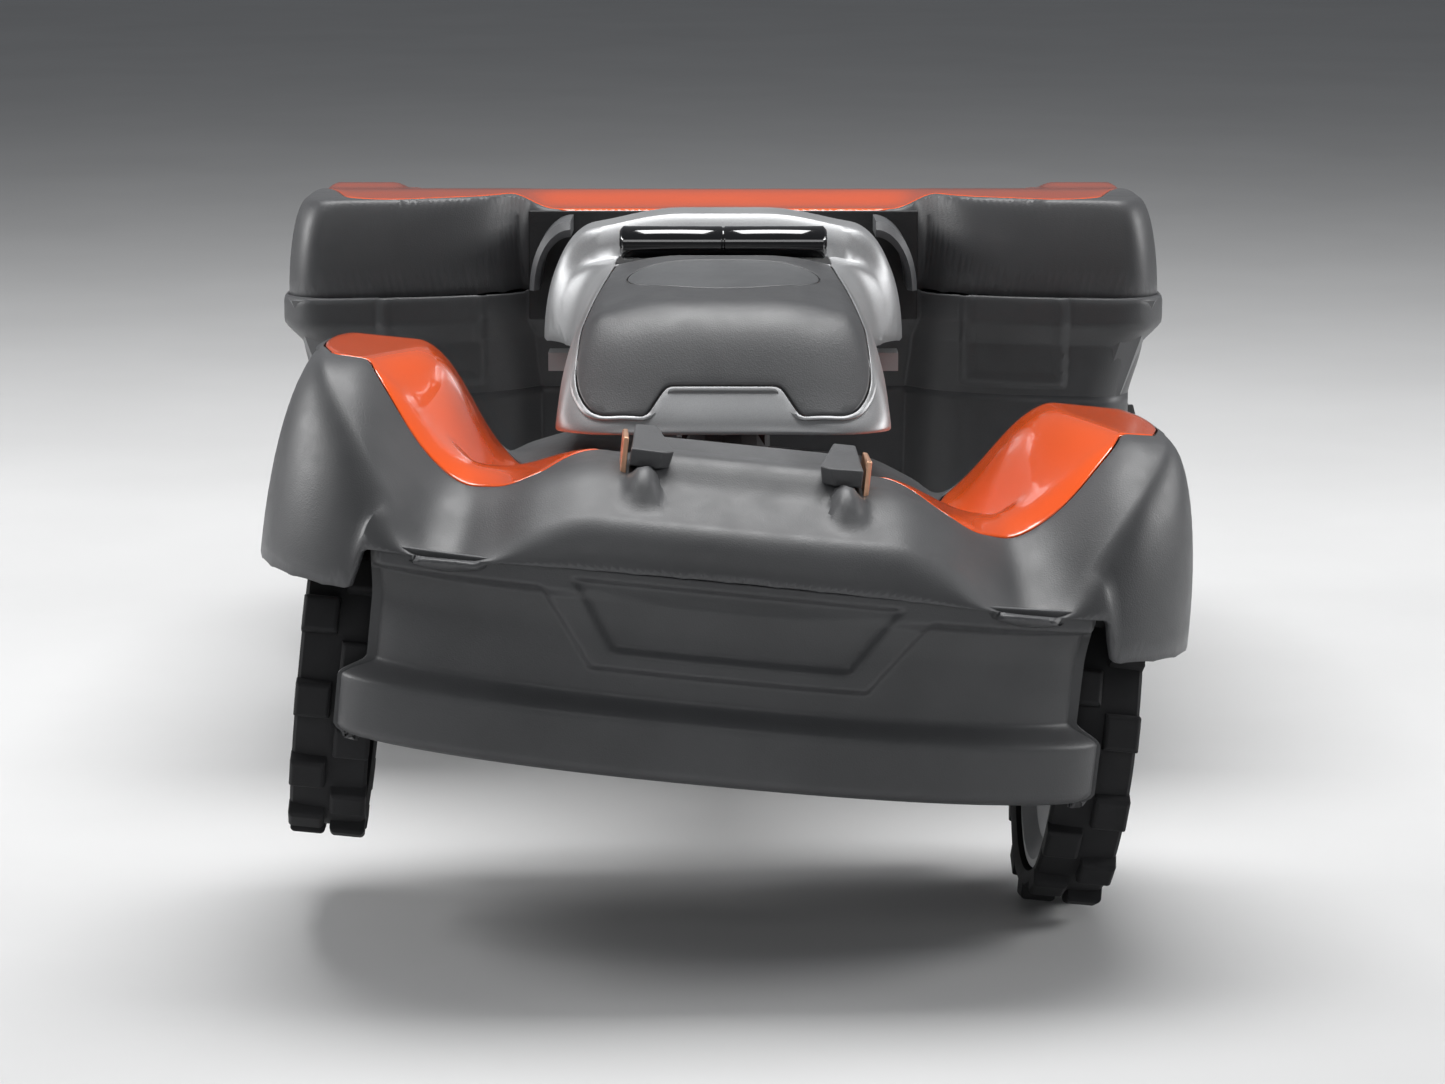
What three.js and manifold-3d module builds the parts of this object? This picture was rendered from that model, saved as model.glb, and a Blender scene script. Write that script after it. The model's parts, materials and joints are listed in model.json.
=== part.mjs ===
// Articulated robotic lawn mower: a front body that rolls on a pin under a neck, a rear body that
// carries the battery and the cutting deck, and a steered rear axle. Four driven wheels.
// Millimetres, +X to the right of someone facing the front, +Y to the rear, +Z up.
// Every shape is drawn on a level machine whose front axle stands over y = 0 with the ground at z = 0.
// The nested groups at the end tip, roll and steer the bodies to the pose the machine rests in.
import * as THREE from 'three';
import { mergeVertices } from 'three/addons/utils/BufferGeometryUtils.js';
import Module from 'manifold-3d';

const wasm = await Module();
wasm.setup();

// ---------------------------------------------------------------- driving dimensions
const GAP = 0.3;
const DEG = Math.PI / 180;

// Pose at rest, in degrees.
const REST_PITCH = 1.9;
const REST_ROLL = 6.4;
const REST_STEER = 18;

// Wheels.
const WHEEL_R = 97;
const TREAD_R = 90;
const RIM_R = 82;
const RIM_SIDES = 20;
const TYRE_WIDTH = 38;
const LUGS_PER_ROW = 14;
const LUG_WIDTH = 17;
const FRONT_TRACK_X = 186;
const REAR_TRACK_X = 241;
const REAR_AXLE_Y = 620;
const SHAFT_R = 7;

// The front body rolls about this line, which climbs towards the rear.
const ROLL_AXIS_Z = 150;
const ROLL_AXIS_SLOPE = 20;
const ROLL_PIN_R = 11;

// Hood.
const HOOD_HALF_WIDTH = 231;
const HOOD_FRONT_Y = -146;
const HOOD_BACK_Y = 132;
const HOOD_SQUARENESS = 3.4;
const HOOD_SEAM_Z = 172;
const HOOD_SIDE_Z = 147;
const PLATEAU_Z = 214;
const CREST_Z = 247;
const VALLEY_Z = 196;
const HOOD_WALL = 5;
const INSERT_THICKNESS = 2.4;

// Bumper.
const BUMPER_FRONT_Y = -150;
const BUMPER_HALF_WIDTH = 185;
const BUMPER_WAIST_HALF_WIDTH = 172;
const BUMPER_BOTTOM_Z = 75;
const BUMPER_LEDGE_Z = 106;
const BUMPER_WALL = 5;
const BUMPER_BACK_Y = -100;

// Rear body.
const BOX_HALF_WIDTH = 248;
const BOX_FRONT_Y = 257;
const BOX_POCKET_Y = 313;
const BOX_POCKET_X = 115;
const BOX_BACK_Y = 790;
const BOX_SEAM_Z = 262;
const BOX_TOP_Z = 318;
const FENDER_Z = 206;
const TUB_BOTTOM_Z = 80;
const TAIL_FLOOR_Z = 136;
const TAIL_HALF_WIDTH = 152;
const TUB_WALL = 4;
const WIDE_TUB_BACK_Y = 424;

// Neck.
const NECK_FRONT_Y = -30;
const NECK_BOTTOM_Z = 226;
const NECK_HALF_WIDTH = 84;
const SHOULDER_HALF_WIDTH = 99;
const NECK_TOP_Z = 298;
const HORN_Z = 317;
const BAR_Y = 173;
const BAR_Z = 303;
const BAR_HALF_WIDTH = 56;
const BAR_R = 9;

// Cutting deck.
const DECK_Y = 392;
const DISC_R = 100;
const DISC_Z = 54;
const BLADE_PIVOT_R = 88;
const BLADE_LENGTH = 36;
const BLADE_COUNT = 3;
const CARRIAGE_R = 54;

// ---------------------------------------------------------------- colours
const DARK_GREY = { color: 0x4a4b4e, roughness: 0.6, metalness: 0.0 };
const SILVER = { color: 0x9da0a3, roughness: 0.38, metalness: 0.35 };
const ORANGE = { color: 0xf2541b, roughness: 0.16, metalness: 0.0 };
const GLOSS_BLACK = { color: 0x0b0b0c, roughness: 0.12, metalness: 0.0 };
const RUBBER = { color: 0x19191b, roughness: 0.8, metalness: 0.0 };
const HUB_GREY = { color: 0x8f9295, roughness: 0.4, metalness: 0.3 };
const CHASSIS_BLACK = { color: 0x1c1d1f, roughness: 0.7, metalness: 0.0 };
const COPPER = { color: 0xc98f6d, roughness: 0.32, metalness: 0.9 };
const STEEL = { color: 0xb4b7ba, roughness: 0.28, metalness: 1.0 };
const MOTOR_GREY = { color: 0x55585c, roughness: 0.45, metalness: 0.6 };
const BOARD_GREEN = { color: 0x1d5c38, roughness: 0.5, metalness: 0.0 };
const BATTERY_BLACK = { color: 0x26282b, roughness: 0.55, metalness: 0.0 };

// ---------------------------------------------------------------- solids
function toSolid(geometry) {
  const bare = geometry.clone();
  bare.deleteAttribute('normal');
  bare.deleteAttribute('uv');
  const merged = mergeVertices(bare, 1e-4);
  const mesh = new wasm.Mesh({
    numProp: 3,
    vertProperties: new Float32Array(merged.attributes.position.array),
    triVerts: new Uint32Array(merged.index.array),
  });
  return new wasm.Manifold(mesh);
}

function toGeometry(solid) {
  const mesh = solid.getMesh();
  const geometry = new THREE.BufferGeometry();
  geometry.setAttribute('position', new THREE.BufferAttribute(new Float32Array(mesh.vertProperties), 3));
  geometry.setIndex(new THREE.BufferAttribute(new Uint32Array(mesh.triVerts), 1));
  geometry.computeVertexNormals();
  return geometry;
}

function union(...solids) {
  return solids.reduce((whole, piece) => whole.add(piece));
}

function box(x0, x1, y0, y1, z0, z1) {
  const geometry = new THREE.BoxGeometry(x1 - x0, y1 - y0, z1 - z0);
  geometry.translate((x0 + x1) / 2, (y0 + y1) / 2, (z0 + z1) / 2);
  return toSolid(geometry);
}

// A cylinder of radius r about a line parallel to an axis of the machine.
function rod(axis, r, from, to, a, b, sides = 16) {
  const geometry = new THREE.CylinderGeometry(r, r, to - from, sides);
  if (axis === 'x') {
    geometry.rotateZ(Math.PI / 2).translate((from + to) / 2, a, b);
  } else if (axis === 'y') {
    geometry.translate(a, (from + to) / 2, b);
  } else {
    geometry.rotateX(Math.PI / 2).translate(a, b, (from + to) / 2);
  }
  return toSolid(geometry);
}

// An outline of [x, y] points raised from z0 to z1.
function prism(points, z0, z1) {
  const shape = new THREE.Shape(points.map(([x, y]) => new THREE.Vector2(x, y)));
  const geometry = new THREE.ExtrudeGeometry(shape, { depth: z1 - z0, bevelEnabled: false });
  geometry.translate(0, 0, z0);
  return toSolid(geometry);
}

// Stacked closed loops of equal length, capped by a fan to a point at each end.
function stack(loops, bottomPoint, topPoint) {
  const count = loops[0].length;
  const positions = loops.flat().concat([bottomPoint, topPoint]).flat();
  const bottom = loops.length * count;
  const top = bottom + 1;
  const index = [];
  for (let i = 0; i < count; i += 1) {
    const j = (i + 1) % count;
    index.push(bottom, j, i);
    for (let k = 0; k + 1 < loops.length; k += 1) {
      const a = k * count;
      const b = a + count;
      index.push(a + i, a + j, b + j, a + i, b + j, b + i);
    }
    const last = (loops.length - 1) * count;
    index.push(last + i, last + j, top);
  }
  const geometry = new THREE.BufferGeometry();
  geometry.setAttribute('position', new THREE.Float32BufferAttribute(positions, 3));
  geometry.setIndex(index);
  return toSolid(geometry);
}

function smooth(value, from, to) {
  const t = Math.min(1, Math.max(0, (value - from) / (to - from)));
  return t * t * (3 - 2 * t);
}

function mix(a, b, t) {
  return a + (b - a) * t;
}

// A crowned cap: each loop of the plan outline shrinks towards the centre while it climbs from
// the rim to the top surface over a rounded shoulder.
const SHOULDER_RINGS = [1, 0.98, 0.95, 0.9];
function cap({ outline, centreY, rim, top, shoulder = 0.9, inner = [0.78, 0.66, 0.54, 0.4, 0.2] }) {
  const rings = SHOULDER_RINGS.map((t) => 1 - (1 - t) * (1 - shoulder) / 0.1).concat(inner);
  const loops = rings.map((t) => outline.map(([px, py]) => {
    const x = px * t;
    const y = centreY + (py - centreY) * t;
    const inward = Math.max(0, (t - shoulder) / (1 - shoulder));
    const rise = Math.sqrt(1 - inward * inward);
    return [x, y, mix(rim(px, py), top(x, y), rise)];
  }));
  return stack(loops, [0, centreY, rim(0, centreY)], [0, centreY, top(0, centreY)]);
}

function shrink(outline, centreY, wall) {
  return outline.map(([x, y]) => {
    const dy = y - centreY;
    const length = Math.hypot(x, dy);
    const t = (length - wall) / length;
    return [x * t, centreY + dy * t];
  });
}

// ---------------------------------------------------------------- front hood
const HOOD_CENTRE_Y = (HOOD_FRONT_Y + HOOD_BACK_Y) / 2;
const HOOD_SIDES = 32;

function hoodOutline() {
  const points = [];
  const depth = (HOOD_BACK_Y - HOOD_FRONT_Y) / 2;
  for (let i = 0; i < HOOD_SIDES; i += 1) {
    const angle = (i / HOOD_SIDES) * Math.PI * 2;
    const c = Math.cos(angle);
    const s = Math.sin(angle);
    const x = Math.sign(c) * Math.abs(c) ** (2 / HOOD_SQUARENESS) * HOOD_HALF_WIDTH;
    const y = Math.sign(s) * Math.abs(s) ** (2 / HOOD_SQUARENESS) * depth;
    points.push([x, HOOD_CENTRE_Y + y]);
  }
  return points;
}

// The rim runs level along the front seam and drops beside the bumper to cover the wheels.
function hoodRim(x, y) {
  const seam = HOOD_SEAM_Z - 5 * (x / BUMPER_WAIST_HALF_WIDTH) ** 2;
  const beside = Math.max(smooth(Math.abs(x), 174, 188), smooth(y, -90, -60));
  return mix(seam, HOOD_SIDE_Z, beside);
}

function hoodTop(x, y) {
  const side = Math.abs(x);
  const valley = mix(PLATEAU_Z, VALLEY_Z, smooth(side, 88, 126));
  const crest = smooth(side, 128, 172) * (CREST_Z - VALLEY_Z);
  const frontDrop = mix(24 * smooth(-y, 78, 146), 52 * smooth(-y, 5, 112), smooth(side, 100, 160));
  const backDrop = mix(12 * smooth(y, -40, -28), 40 * smooth(y, 50, 118), smooth(side, 100, 150));
  return valley + crest - frontDrop - backDrop;
}

function hoodSolid(inset, rimDrop) {
  return cap({
    outline: shrink(hoodOutline(), HOOD_CENTRE_Y, inset),
    centreY: HOOD_CENTRE_Y,
    rim: (x, y) => hoodRim(x, y) - rimDrop,
    top: (x, y) => hoodTop(x, y) - inset,
  });
}

// Both crests and the strip along the back of the hood, as one U-shaped outline.
function insertOutline(grow) {
  const half = [
    [0, -36 - grow],
    [86, -36 - grow],
    [104, -50 - grow],
    [126, -66 - grow],
    [150, -72 - grow],
    [178, -52 - grow],
    [196 + grow, -34 - grow],
    [208 + grow, 0],
    [206 + grow, 62 + grow],
    [116 - grow, 62 + grow],
    [100 - grow, 6 + grow],
    [0, 6 + grow],
  ];
  const mirrored = half.slice(1, -1).map(([x, y]) => [-x, y]).reverse();
  return half.concat(mirrored);
}

const hoodOuter = hoodSolid(0, 0);
const joinNotch = box(-48, 48, 34, 140, 100, 260);

function frontHood() {
  const pocket = prism(insertOutline(GAP), 100, 300)
    .subtract(hoodOuter.translate(0, 0, -INSERT_THICKNESS - GAP));
  return hoodOuter.subtract(hoodSolid(HOOD_WALL, 10)).subtract(pocket).subtract(joinNotch);
}

function hoodInsert() {
  return hoodOuter
    .intersect(prism(insertOutline(0), 100, 300))
    .subtract(hoodOuter.translate(0, 0, -INSERT_THICKNESS))
    .subtract(joinNotch);
}

// ---------------------------------------------------------------- charging contacts
function contactBlock() {
  const profile = [[-46, -86], [46, -86], [46, -50], [30, -40], [-30, -40], [-46, -50]];
  const bridge = prism(profile, 200, 224);
  const heads = [-1, 1].map((side) => {
    const x0 = side * 36;
    const x1 = side * 57;
    return box(Math.min(x0, x1), Math.max(x0, x1), -94, -62, 208, 232);
  });
  return union(bridge, ...heads).subtract(hoodOuter.translate(0, 0, GAP));
}

function contactStrip(side) {
  const x0 = side * (57 + GAP);
  const x1 = side * 60;
  const strip = box(Math.min(x0, x1), Math.max(x0, x1), -92, -66, 213, 231);
  return strip.subtract(hoodOuter.translate(0, 0, GAP));
}

// ---------------------------------------------------------------- front bumper
function bumperPlan(halfWidth, frontY, backY, bow) {
  const points = [];
  const steps = 14;
  for (let i = 0; i <= steps; i += 1) {
    const x = mix(-halfWidth, halfWidth, i / steps);
    points.push([x, frontY + bow * Math.abs(x / halfWidth) ** 2.6]);
  }
  points.push([halfWidth, backY], [-halfWidth, backY]);
  return points;
}

function bumperBlock(inset, backY) {
  const band = prism(
    bumperPlan(BUMPER_HALF_WIDTH - inset, BUMPER_FRONT_Y + inset, backY, 38),
    BUMPER_BOTTOM_Z + inset,
    BUMPER_LEDGE_Z - inset,
  );
  const waist = prism(
    bumperPlan(BUMPER_WAIST_HALF_WIDTH - inset, BUMPER_FRONT_Y + 9 + inset, backY, 30),
    BUMPER_LEDGE_Z - 2 * inset - 1,
    HOOD_SEAM_Z - 6 - inset / 5,
  );
  return union(band, waist);
}

function frontBumper() {
  return bumperBlock(0, BUMPER_BACK_Y)
    .subtract(bumperBlock(BUMPER_WALL, BUMPER_BACK_Y + 20))
    .subtract(hoodSolid(-1, GAP));
}

// ---------------------------------------------------------------- front chassis and roll pin
function alongRollAxis(solid) {
  return solid.rotate([ROLL_AXIS_SLOPE, 0, 0]).translate(0, 0, ROLL_AXIS_Z);
}

function frontChassis() {
  const floor = box(-140, 140, -72, 104, 62, 70);
  const rails = [-1, 1].map((side) => box(side * 60 - 6, side * 60 + 6, -72, 104, 69, 92));
  const noseRib = box(-140, 140, -72, -64, 69, 150);
  const bracket = box(-30, 30, 44, 76, 69, 198);
  const pinHole = alongRollAxis(rod('y', ROLL_PIN_R + GAP, 20, 120, 0, 0));
  return union(floor, ...rails, noseRib, bracket).subtract(pinHole);
}

function rollPin() {
  const shank = rod('y', ROLL_PIN_R, 46, 172, 0, 0);
  const collar = rod('y', ROLL_PIN_R + 5, 90, 95, 0, 0);
  return alongRollAxis(union(shank, collar));
}

function swivelBearing() {
  const barrel = rod('y', 25, 97, 168, 0, 0);
  const bore = rod('y', ROLL_PIN_R + GAP + 0.15, 80, 176, 0, 0);
  const pillar = box(-22, 22, 108, 150, 185, NECK_BOTTOM_Z - GAP);
  return alongRollAxis(barrel).add(pillar).subtract(alongRollAxis(bore));
}

// ---------------------------------------------------------------- drive
// Gear motor with its output shaft pointing to +X, drawn about the origin.
function gearMotor(length) {
  const housing = rod('x', 26, 0, length, 0, 0, 14);
  const flange = rod('x', 30, length - 8, length, 0, 0, 14);
  const shaft = rod('x', SHAFT_R, length - 1, length + 25, 0, 0, 12);
  return union(housing, flange, shaft);
}

// One row of lugs: a toothed ring from x = from to x = to, its teeth turned by a part of a pitch.
function lugRow(from, to, turn) {
  const pitch = (Math.PI * 2) / LUGS_PER_ROW;
  const outline = [];
  for (let i = 0; i < LUGS_PER_ROW; i += 1) {
    for (const [r, part] of [[TREAD_R, 0.04], [WHEEL_R, 0.06], [WHEEL_R, 0.48], [TREAD_R, 0.5]]) {
      const angle = pitch * (i + part + turn);
      outline.push(new THREE.Vector2(r * Math.cos(angle), r * Math.sin(angle)));
    }
  }
  const shape = new THREE.Shape(outline);
  const bore = new THREE.Path().setFromPoints(
    ellipse(RIM_R, RIM_R, 0, RIM_SIDES).map(([x, y]) => new THREE.Vector2(x, y)),
  );
  shape.holes.push(bore);
  const geometry = new THREE.ExtrudeGeometry(shape, { depth: to - from, bevelEnabled: false });
  geometry.translate(0, 0, from);
  geometry.rotateY(Math.PI / 2);
  return toSolid(geometry);
}

function tyre() {
  const half = TYRE_WIDTH / 2;
  return union(lugRow(-half, -1, 0), lugRow(-1, half, 0.5));
}

// Closed disc wheel with a shallow dish on its outer face (+X) and a socket for the shaft.
function hub() {
  const rimR = RIM_R * Math.cos(Math.PI / RIM_SIDES) - GAP;
  const profile = [
    [0, 10],
    [22, 10],
    [26, 7],
    [70, 9],
    [rimR, 16],
    [rimR, -15],
    [68, -8],
    [22, -14],
    [SHAFT_R + 0.4, -14],
    [SHAFT_R + 0.4, 4],
    [0, 4],
  ].map(([r, x]) => new THREE.Vector2(r, x));
  const geometry = new THREE.LatheGeometry(profile.reverse(), 16);
  geometry.rotateZ(-Math.PI / 2);
  return toSolid(geometry);
}

function mirrored(solid) {
  return solid.mirror([1, 0, 0]);
}

// ---------------------------------------------------------------- rear body
// Plan outline of the rear body: a pocket for the neck, two front corners, straight flanks and a
// rounded tail.
function boxOutline() {
  const half = [
    [BOX_POCKET_X, BOX_POCKET_Y],
    [134, 290],
    [170, 272],
    [206, 262],
    [232, BOX_FRONT_Y],
    [244, BOX_FRONT_Y + 5],
    [BOX_HALF_WIDTH, BOX_FRONT_Y + 20],
    [BOX_HALF_WIDTH, 400],
    [BOX_HALF_WIDTH, 520],
    [BOX_HALF_WIDTH - 4, 640],
    [228, 730],
    [196, 768],
    [120, 785],
    [50, BOX_BACK_Y],
  ];
  const middleFront = [[0, BOX_POCKET_Y], [58, BOX_POCKET_Y]];
  const right = middleFront.concat(half);
  const left = right.slice(1).map(([x, y]) => [-x, y]).reverse();
  return right.concat([[0, BOX_BACK_Y]], left);
}

const BOX_CENTRE_Y = 530;
function boxTop(x, y) {
  const slope = 30 * smooth(y, 330, 680) + 22 * smooth(y, 660, 800);
  const hump = 12 * smooth(Math.abs(x), 150, 205) * smooth(y, 430, 560) * (1 - smooth(y, 690, 780));
  return BOX_TOP_Z - slope + hump;
}

function boxSolid(lower) {
  const outline = lower ? shrink(boxOutline(), BOX_CENTRE_Y, lower) : boxOutline();
  return cap({
    outline,
    centreY: BOX_CENTRE_Y,
    rim: () => BOX_SEAM_Z + GAP - (lower ? 2 * lower : 0),
    top: (x, y) => boxTop(x, y) - lower,
    shoulder: 0.94,
    inner: [0.86, 0.74, 0.55, 0.3],
  });
}

const boxOuter = boxSolid(0);

// Orange deck panel: a band behind the neck that widens over both rear fenders.
function deckOutline(grow) {
  const half = [
    [0, 330 - grow],
    [96, 330 - grow],
    [120, 352 - grow],
    [150, 420 - grow],
    [200, 448 - grow],
    [226 + grow, 470 - grow],
    [226 + grow, 690 + grow],
    [150, 706 + grow],
    [118, 640 + grow],
    [0, 620 + grow],
  ];
  return half.concat(half.slice(1, -1).map(([x, y]) => [-x, y]).reverse());
}

function rearUpperShell() {
  const pocket = prism(deckOutline(GAP), 200, 400)
    .subtract(boxOuter.translate(0, 0, -INSERT_THICKNESS - GAP));
  return boxOuter.subtract(boxSolid(HOOD_WALL)).subtract(pocket);
}

function rearDeckInsert() {
  return boxOuter
    .intersect(prism(deckOutline(0), 200, 400))
    .subtract(boxOuter.translate(0, 0, -INSERT_THICKNESS));
}

// Lower half of the rear body: a wide band above the wheels, a deep wide front part over the
// cutting deck and a shallow narrow tail over the rear axle.
function tubBody(wall) {
  const top = wall ? BOX_SEAM_Z + 10 : BOX_SEAM_Z;
  const wide = wall ? shrink(boxOutline(), BOX_CENTRE_Y, wall) : boxOutline();
  const taper = (t) => wide.map(([x, y]) => [x * t, BOX_CENTRE_Y + (y - BOX_CENTRE_Y) * t]);
  const level = (t, z) => taper(t).map(([x, y]) => [x, y, z]);
  const band = stack(
    [level(0.93, FENDER_Z + wall), level(1, top)],
    [0, BOX_CENTRE_Y, FENDER_Z + wall],
    [0, BOX_CENTRE_Y, top],
  );
  const front = prism(
    [
      [-BOX_POCKET_X + 4, BOX_POCKET_Y + 14 + wall],
      [BOX_POCKET_X - 4, BOX_POCKET_Y + 14 + wall],
      [160, 296 + wall],
      [216 - wall, 284 + wall],
      [216 - wall, WIDE_TUB_BACK_Y - wall],
      [-216 + wall, WIDE_TUB_BACK_Y - wall],
      [-216 + wall, 284 + wall],
      [-160, 296 + wall],
    ],
    TUB_BOTTOM_Z + wall,
    FENDER_Z + wall + 1,
  );
  const tail = box(
    -TAIL_HALF_WIDTH + wall,
    TAIL_HALF_WIDTH - wall,
    WIDE_TUB_BACK_Y - 30,
    760 - wall,
    TAIL_FLOOR_Z + wall,
    FENDER_Z + wall + 1,
  );
  const well = box(
    -TAIL_HALF_WIDTH + wall,
    TAIL_HALF_WIDTH - wall,
    WIDE_TUB_BACK_Y - 30,
    DECK_Y + 74 - wall,
    TUB_BOTTOM_Z + wall,
    FENDER_Z + wall + 1,
  );
  return union(band, front, tail, well);
}

function rearTub() {
  const deckHole = rod('z', CARRIAGE_R + 3, 40, 120, 0, DECK_Y, 24);
  const kingpinHole = rod('z', 30, 100, 200, 0, REAR_AXLE_Y, 24);
  return tubBody(0).subtract(tubBody(TUB_WALL)).subtract(deckHole).subtract(kingpinHole);
}

function batteryPack() {
  return box(-95, 95, 462, 572, 146, 200);
}

function controlBoard() {
  return box(-80, 80, 462, 572, 216, 222);
}

// ---------------------------------------------------------------- neck
const NECK_CENTRE_Y = 130;
function neckOutline() {
  const half = [
    [30, NECK_FRONT_Y],
    [62, NECK_FRONT_Y + 3],
    [78, NECK_FRONT_Y + 14],
    [NECK_HALF_WIDTH, 12],
    [82, 70],
    [80, 130],
    [82, 176],
    [SHOULDER_HALF_WIDTH - 4, 196],
    [SHOULDER_HALF_WIDTH, 216],
    [SHOULDER_HALF_WIDTH, 256],
    [SHOULDER_HALF_WIDTH, 290],
    [92, BOX_POCKET_Y - GAP],
    [46, BOX_POCKET_Y - GAP],
  ];
  const right = [[0, NECK_FRONT_Y]].concat(half);
  const left = half.map(([x, y]) => [-x, y]).reverse();
  return right.concat([[0, BOX_POCKET_Y - GAP]], left);
}

function neckRim(x, y) {
  return mix(NECK_BOTTOM_Z, 246, smooth(y, 100, 190));
}

function neckTop(x, y) {
  const climb = mix(236, 286, smooth(y, -52, 34));
  const crown = 12 * smooth(y, 10, 150) + (HORN_Z - NECK_TOP_Z) * smooth(y, 186, 206);
  const fall = 5 * smooth(y, 240, 312);
  return climb + crown - fall;
}

function neckSolid(lower) {
  return cap({
    outline: neckOutline(),
    centreY: NECK_CENTRE_Y,
    rim: neckRim,
    top: (x, y) => neckTop(x, y) - lower,
    shoulder: 0.72,
    inner: [0.6, 0.45, 0.25],
  });
}

const neckOuter = neckSolid(0);

function coverOutline(grow) {
  const half = [
    [0, -14 - grow],
    [30 - grow, -14 - grow],
    [40 - grow, -24 - grow],
    [62 + grow, -20 - grow],
    [70 + grow, -4],
    [66 + grow, 60],
    [54 + grow, 138],
    [44, 149 + grow],
    [0, 149 + grow],
  ];
  return half.concat(half.slice(1, -1).map(([x, y]) => [-x, y]).reverse());
}

const COVER_THICKNESS = 3;
const BADGE_HALF_WIDTH = 50;
const BADGE_HALF_DEPTH = 36;
const BADGE_Y = 98;
function ellipse(a, b, centreY, steps) {
  const points = [];
  for (let i = 0; i < steps; i += 1) {
    const angle = (i / steps) * Math.PI * 2;
    points.push([a * Math.cos(angle), centreY + b * Math.sin(angle)]);
  }
  return points;
}

function skinOf(outer, outline, thickness) {
  return outer.intersect(prism(outline, 100, 400)).subtract(outer.translate(0, 0, -thickness));
}

function neckFrame() {
  const pocket = prism(coverOutline(GAP), 100, 400)
    .subtract(neckOuter.translate(0, 0, -COVER_THICKNESS - GAP));
  const barWell = box(-BAR_HALF_WIDTH - 2, BAR_HALF_WIDTH + 2, 156, 190, 286, 340);
  const hollow = box(-60, 60, 20, 300, 220, 270);
  return neckOuter.subtract(pocket).subtract(barWell).subtract(hollow);
}

function neckCover() {
  const badgeSeat = prism(ellipse(BADGE_HALF_WIDTH + GAP, BADGE_HALF_DEPTH + GAP, BADGE_Y, 24), 100, 400)
    .subtract(neckOuter.translate(0, 0, -1.5));
  return skinOf(neckOuter, coverOutline(0), COVER_THICKNESS).subtract(badgeSeat);
}

function neckBadge() {
  return skinOf(neckOuter, ellipse(BADGE_HALF_WIDTH, BADGE_HALF_DEPTH, BADGE_Y, 24), 1.2);
}

function neckTab(side) {
  const x = side * 88;
  return box(x - 9, x + 9, 214, 236, 228, 238);
}

// A spring pushes the stop bar up against the rim of its well.
function stopBar() {
  const bar = rod('x', BAR_R, -BAR_HALF_WIDTH, BAR_HALF_WIDTH, BAR_Y, BAR_Z, 16);
  const foot = box(-BAR_HALF_WIDTH + 6, BAR_HALF_WIDTH - 6, BAR_Y - 5, BAR_Y + 5, 292, BAR_Z);
  return union(bar, foot);
}

// ---------------------------------------------------------------- steered rear axle
function rearAxleBeam() {
  const beam = box(-150, 150, REAR_AXLE_Y - 18, REAR_AXLE_Y + 18, 70, 124);
  const kingpin = rod('z', 14, 120, 196, 0, REAR_AXLE_Y);
  const flange = rod('z', 34, 123, 130, 0, REAR_AXLE_Y);
  return union(beam, kingpin, flange);
}

function kingpinBearing() {
  return rod('z', 30 - GAP, TAIL_FLOOR_Z - 4, 168, 0, REAR_AXLE_Y)
    .subtract(rod('z', 14.5, 100, 200, 0, REAR_AXLE_Y));
}

function steeringMotor() {
  return union(
    rod('z', 24, 142, 200, 88, REAR_AXLE_Y, 20),
    box(88 - 20, 88 + 30, REAR_AXLE_Y - 20, REAR_AXLE_Y + 20, 141, 152),
  );
}

// ---------------------------------------------------------------- cutting deck
function heightGuide() {
  const post = (x) => rod('z', 6, 85, 190, x, DECK_Y, 12);
  const bridge = box(-76, 76, DECK_Y - 9, DECK_Y + 9, 184, 194);
  return union(post(-69), post(69), bridge);
}

function heightCarriage() {
  const cup = rod('z', CARRIAGE_R, 66, 118, 0, DECK_Y, 24);
  const cavity = rod('z', 47, 71, 130, 0, DECK_Y, 24);
  const ears = [-1, 1].map((side) => box(side * 66 - 16, side * 66 + 16, DECK_Y - 14, DECK_Y + 14, 108, 118));
  const guides = [-1, 1].map((side) => rod('z', 6.6, 60, 130, side * 69, DECK_Y, 12));
  const shaftHole = rod('z', 9, 50, 80, 0, DECK_Y, 16);
  return union(cup, ...ears).subtract(cavity).subtract(shaftHole).subtract(union(...guides));
}

function bladeMotor() {
  return union(
    rod('z', 46, 72, 112, 0, DECK_Y, 24),
    rod('z', 26, 111, 124, 0, DECK_Y, 20),
    rod('z', 5, 34, 74, 0, DECK_Y, 16),
  );
}

function bladePivot(index) {
  const angle = (index / BLADE_COUNT) * Math.PI * 2 + Math.PI / 2;
  return [BLADE_PIVOT_R * Math.cos(angle), DECK_Y + BLADE_PIVOT_R * Math.sin(angle), angle];
}

function bladeDisc() {
  const plate = rod('z', DISC_R, DISC_Z, DISC_Z + 3, 0, DECK_Y, 24);
  const boss = rod('z', 20, DISC_Z, 62, 0, DECK_Y, 20);
  let disc = union(plate, boss).subtract(rod('z', 5.4, 30, 80, 0, DECK_Y, 16));
  for (let i = 0; i < BLADE_COUNT; i += 1) {
    const [x, y] = bladePivot(i);
    const screw = rod('z', 2.5, DISC_Z - 4, DISC_Z + 1, x, y, 8);
    const screwHead = rod('z', 5, DISC_Z - 5, DISC_Z - 3, x, y, 8);
    disc = union(disc, screw, screwHead);
  }
  return disc;
}

function blade(index) {
  const [x, y, angle] = bladePivot(index);
  const strip = box(-7, BLADE_LENGTH - 7, -8, 8, DISC_Z - 2.6, DISC_Z - 1.2);
  return strip
    .subtract(rod('z', 3, 0, 100, 0, 0, 12))
    .rotate([0, 0, angle / DEG])
    .translate(x, y, 0);
}

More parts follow.
